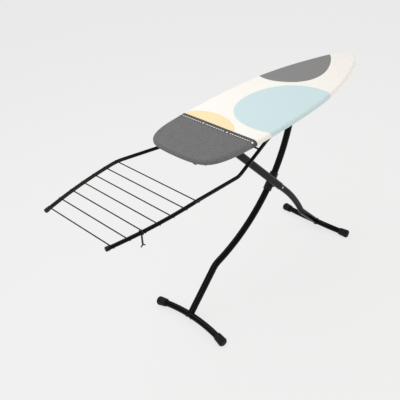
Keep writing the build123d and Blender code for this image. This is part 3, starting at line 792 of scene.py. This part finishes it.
class IRONING_OT_heat_zone(bpy.types.Operator):
    """Lay the heat-proof cloth over the broad end, with tape on its seam."""
    bl_idname = "ironing.heat_zone"
    bl_label = "Heat-proof zone"

    def execute(self, context):
        cover = context.scene.ironing_board.cover
        settings = context.scene.ironing_board.heat_zone
        mesh = keep_between(cover_mesh(cover, 0.9 * MM), None, SEAM_X - 3 * MM)
        zone = new_piece("heat_proof_cloth", mesh, "board",
                         coated_cloth(settings))
        thicken(zone, 0.8 * MM)
        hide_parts("heat_zone_cover")
        mesh = keep_between(cover_mesh(cover, 1.5 * MM),
                            SEAM_X - settings.tape_width, SEAM_X)
        tape = new_piece("seam_tape", mesh, "board", printed_tape(settings))
        thicken(tape, 0.7 * MM)
        self.sew(tape, settings)
        return {"FINISHED"}

    def sew(self, tape, settings):
        """Two rows of stitches, one along each edge of the tape."""
        thread = sewing_thread(settings)
        top = search_tree(tape.data)
        margin = 2.5 * MM    # from each edge of the tape
        insets = (margin, settings.tape_width - margin)
        for number, inset in enumerate(insets, 1):
            x = SEAM_X - inset
            line = surface_line(top, x)
            stitches(f"tape_stitches_{number}", line, "board", thread,
                     4.5 * MM, 0.7 * MM)


class IRONING_OT_pad(bpy.types.Operator):
    """Lay the felt pad between the panel and the cover."""
    bl_idname = "ironing.pad"
    bl_label = "Felt pad"

    def execute(self, context):
        count = 240
        spine = 0.2          # the middle line's ends, in from both ends
        points, normals = board_plan(count)
        mesh = bmesh.new()
        rows = []
        cover = context.scene.ironing_board.cover
        under = 2.6 * MM     # the cotton and its unevenness above the felt
        rings = [(None, CLOTH_TOP - under), (70 * MM, CLOTH_TOP - under),
                 (30 * MM, CLOTH_TOP - under)]
        for angle in range(0, 90, 10):
            a = math.radians(angle)
            z = CLOTH_TOP - under - cover.edge_drop * (1 - math.cos(a))
            if z > PAD_LOW.z + 0.5 * MM:
                rings.append((under + cover.edge_round * (1 - math.sin(a)), z))
        rings += [(rings[-1][0], PAD_LOW.z), (40 * MM, PAD_LOW.z),
                  (None, PAD_LOW.z)]
        for inset, level in rings:
            row = []
            for point, inward in zip(points, normals):
                if inset is None:
                    x = min(max(point.x, BROAD_END + spine), NOSE - spine)
                    flat = Vector((x, 0))
                else:
                    flat = point + inward * inset
                hair = abs(noise.noise(Vector((flat.x, flat.y, 0)) * 40))
                hair *= 0.5 * MM * (level > PAD_LOW.z)
                row.append(mesh.verts.new((flat.x, flat.y, level - hair)))
            rows.append(row)
        for inner, outer in zip(rows, rows[1:]):
            for i in range(count):
                j = (i + 1) % count
                mesh.faces.new((inner[i], outer[i], outer[j], inner[j]))
        bmesh.ops.remove_doubles(mesh, verts=rows[0] + rows[-1], dist=0.01 * MM)
        bmesh.ops.recalc_face_normals(mesh, faces=mesh.faces)
        pad = new_piece("felt_underlay", mesh, "board", needled_felt(cover))
        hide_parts("felt_pad")
        return {"FINISHED"}


class IRONING_OT_deck(bpy.types.Operator):
    """Enamel the rim, the vented panel and the braces."""
    bl_idname = "ironing.deck"
    bl_label = "Rim and panel"

    def execute(self, context):
        settings = context.scene.ironing_board.stand
        finish_nodes(["board_rim", "vented_panel", "end_brace", "hinge_brace",
                      "rail_end_brace", "rail_inner_brace"],
                     baked_enamel(settings))
        return {"FINISHED"}


class IRONING_OT_stand(bpy.types.Operator):
    """Coat the legs, feet and rails, and weld the legs to their feet."""
    bl_idname = "ironing.stand"
    bl_label = "Stand"

    def execute(self, context):
        settings = context.scene.ironing_board.stand
        coat = powder_coat(settings)
        finish_nodes(["front_leg_tube", "front_foot_tube", "front_hinge_tube",
                      "front_hinge_bracket", "rear_leg_upper_tube",
                      "rear_leg_lower_tube", "rear_foot_tube",
                      "guide_rail_left", "guide_rail_right"], coat)
        zinc = zinc_plate(settings)
        finish_nodes(["front_hinge_pin", "leg_joint_rivet", "pivot_bolt",
                      "pivot_nut", "slider_crossbar"], zinc)
        plastic = moulded_plastic(settings)
        finish_nodes(["pivot_housing", "slider_bush_left",
                      "slider_bush_right"], plastic)
        rubber = foot_rubber(settings)
        finish_nodes([f"{leg}_foot_cap_{side}" for leg in ("front", "rear")
                      for side in ("left", "right")], rubber)
        for leg, body, tube in (("front", "front_leg", "front_leg_tube"),
                                ("rear", "rear_leg", "rear_leg_lower_tube")):
            self.weld(leg, body, tube, coat, settings.bead)
        return {"FINISHED"}

    def weld(self, leg, body, tube, coat, bead):
        """A bead where a leg stands on its foot tube."""
        leg_tree, foot_tree = (
            search_tree(NODES[node].data) for node in (tube, f"{leg}_foot_tube"))
        foot_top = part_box(f"{leg}_foot_tube")[1].z
        side = (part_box(tube)[0].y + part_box(tube)[1].y) / 2
        far, clear = 5.0, 0.06       # rays start outside the leg's walls
        count, reach = 40, 160       # samples round it, millimetres down it
        middles = []
        for above in (50 * MM, 90 * MM):
            height = foot_top + above
            walls = []
            for way in (1, -1):
                start = Vector((way * -far, side, height))
                walls.append(leg_tree.ray_cast(start, Vector((way, 0, 0)))[0])
            middles.append((walls[0] + walls[1]) / 2)
        down = (middles[0] - middles[1]).normalized()
        points, normals = [], []
        for i in range(count):
            turn = math.tau * i / count
            out = Vector((0, 1, 0)) * math.cos(turn)
            out += down.cross(Vector((0, 1, 0))) * math.sin(turn)
            wall = leg_tree.ray_cast(middles[0] + out * clear, -out)[0]
            if wall is None:
                raise RuntimeError(f"the {leg} leg has no wall above its foot")
            along = [wall + down * (step * MM) for step in range(reach)]
            landed = min(along, key=lambda at: foot_tree.find_nearest(at)[3])
            points.append(landed)
            normals.append(out)
        mesh = bmesh.new()
        tube_ring(mesh, points, normals, bead, lumps=0.12)
        new_piece(f"{leg}_foot_weld", mesh, body, coat)


class IRONING_OT_rack(bpy.types.Operator):
    """Coat the linen rack, weld its wires and fit its caps."""
    bl_idname = "ironing.rack"
    bl_label = "Linen rack"

    def execute(self, context):
        settings = context.scene.ironing_board.stand
        coat = bpy.data.materials["satin_powder_coat"]
        wires = sorted(n for n in NODES if n.startswith("rack_wire_"))
        finish_nodes(wires + ["rack_rail_left", "rack_rail_right",
                              "rack_stop_arm_left", "rack_stop_arm_right",
                              "rack_socket_left", "rack_socket_right"], coat)
        finish_nodes(["rack_end_cap_left", "rack_end_cap_right",
                      "hanging_clip"], bpy.data.materials["moulded_nylon"])
        mesh = bmesh.new()
        for rail, way in (("rack_rail_left", 1), ("rack_rail_right", -1)):
            tree = search_tree(NODES[rail].data)
            for wire in wires:
                self.weld_wire(mesh, wire, tree, Vector((0, way, 0)),
                               settings.bead * 0.45)
        new_piece("rack_wire_welds", mesh, "linen_rack", coat)
        return {"FINISHED"}

    def weld_wire(self, mesh, wire, rail_tree, out, bead):
        """A bead where a wire's end meets a rail."""
        corners = [v.co for v in NODES[wire].data.vertices]
        reach = max(c.dot(out) for c in corners)
        end = [c for c in corners if c.dot(out) > reach - 0.5 * MM]
        # The search starts 40 mm inside the end and goes out by half
        # millimetres to the place nearest the rail.
        centre = sum(end, Vector()) / len(end) - out * 40 * MM
        radius = max((c - centre).cross(out).length for c in end)
        walls, normals = ring_round(centre, out, radius, 12)
        points = []
        for wall in walls:
            along = [wall + out * (step * 0.5 * MM) for step in range(60)]
            points.append(min(along, key=lambda at: rail_tree.find_nearest(at)[3]))
        tube_ring(mesh, points, normals, bead, sides=6, lumps=0.2)


class IRONING_OT_release(bpy.types.Operator):
    """Finish the height lever, its pin, spring, rod and lock block."""
    bl_idname = "ironing.release"
    bl_label = "Height release"

    def execute(self, context):
        finish_nodes(["release_lever"], bpy.data.materials["satin_powder_coat"])
        finish_nodes(["lever_grip", "lock_block"],
                     bpy.data.materials["moulded_nylon"])
        finish_nodes(["lever_pin", "pull_rod", "return_spring"],
                     bpy.data.materials["zinc_plated_steel"])
        return {"FINISHED"}


class IRONING_PT_board(bpy.types.Panel):
    """Buttons and settings of the ironing board."""
    bl_label = "Ironing Board"
    bl_space_type = "VIEW_3D"
    bl_region_type = "UI"
    bl_category = "Ironing Board"

    def draw(self, context):
        settings = context.scene.ironing_board
        for operator in OPERATORS:
            self.layout.operator(operator.bl_idname)
        for group in (settings.cover, settings.heat_zone, settings.stand,
                      settings.stage):
            box = self.layout.box()
            for name in group.__annotations__:
                box.prop(group, name)


OPERATORS = (IRONING_OT_stage, IRONING_OT_cover, IRONING_OT_heat_zone,
             IRONING_OT_pad, IRONING_OT_deck, IRONING_OT_stand,
             IRONING_OT_rack, IRONING_OT_release)
CLASSES = (CoverSettings, HeatZoneSettings, StandSettings, StageSettings,
           BoardSettings, *OPERATORS, IRONING_PT_board)


def register():
    for made in CLASSES:
        bpy.utils.register_class(made)
    bpy.types.Scene.ironing_board = bpy.props.PointerProperty(type=BoardSettings)


def unregister():
    del bpy.types.Scene.ironing_board
    for made in reversed(CLASSES):
        bpy.utils.unregister_class(made)


def main():
    """Dress the board."""
    register()
    bpy.ops.ironing.stage()
    bpy.ops.ironing.cover()
    bpy.ops.ironing.heat_zone()
    bpy.ops.ironing.pad()
    bpy.ops.ironing.deck()
    bpy.ops.ironing.stand()
    bpy.ops.ironing.rack()
    bpy.ops.ironing.release()


if __name__ == "__main__":
    main()
